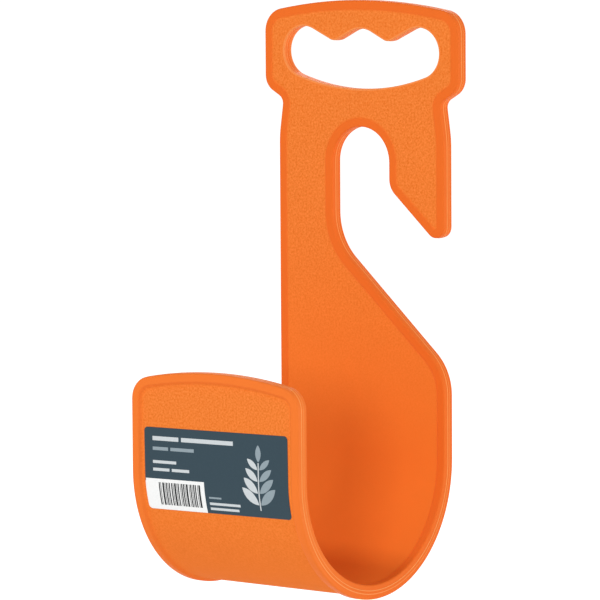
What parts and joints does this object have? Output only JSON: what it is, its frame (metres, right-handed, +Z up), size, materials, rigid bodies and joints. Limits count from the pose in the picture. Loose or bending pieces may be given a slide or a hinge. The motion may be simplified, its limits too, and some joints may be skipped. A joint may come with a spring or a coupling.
{
  "type": "hose hanger",
  "caption": "Moulded plastic hose hanger: a flat plate with a finger-grip hand hole and an open hanging slot above a wide J-shaped saddle whose front lip carries a label.",
  "frame": {"origin": "centre of the hanging slot's arch, on the plate's mid-plane", "axes": "+Z up the plate towards the handle, +Y through the plate to the wall, +X to the slot's open side"},
  "size_m": [0.1172, 0.121, 0.28],
  "materials": {
    "orange_polypropylene": "spark-eroded grain on the fields, smooth rim",
    "printed_film": "printed adhesive film"
  },
  "bodies": {
    "root": {"hanger": "orange_polypropylene", "label": "printed_film"}
  },
  "joints": []
}
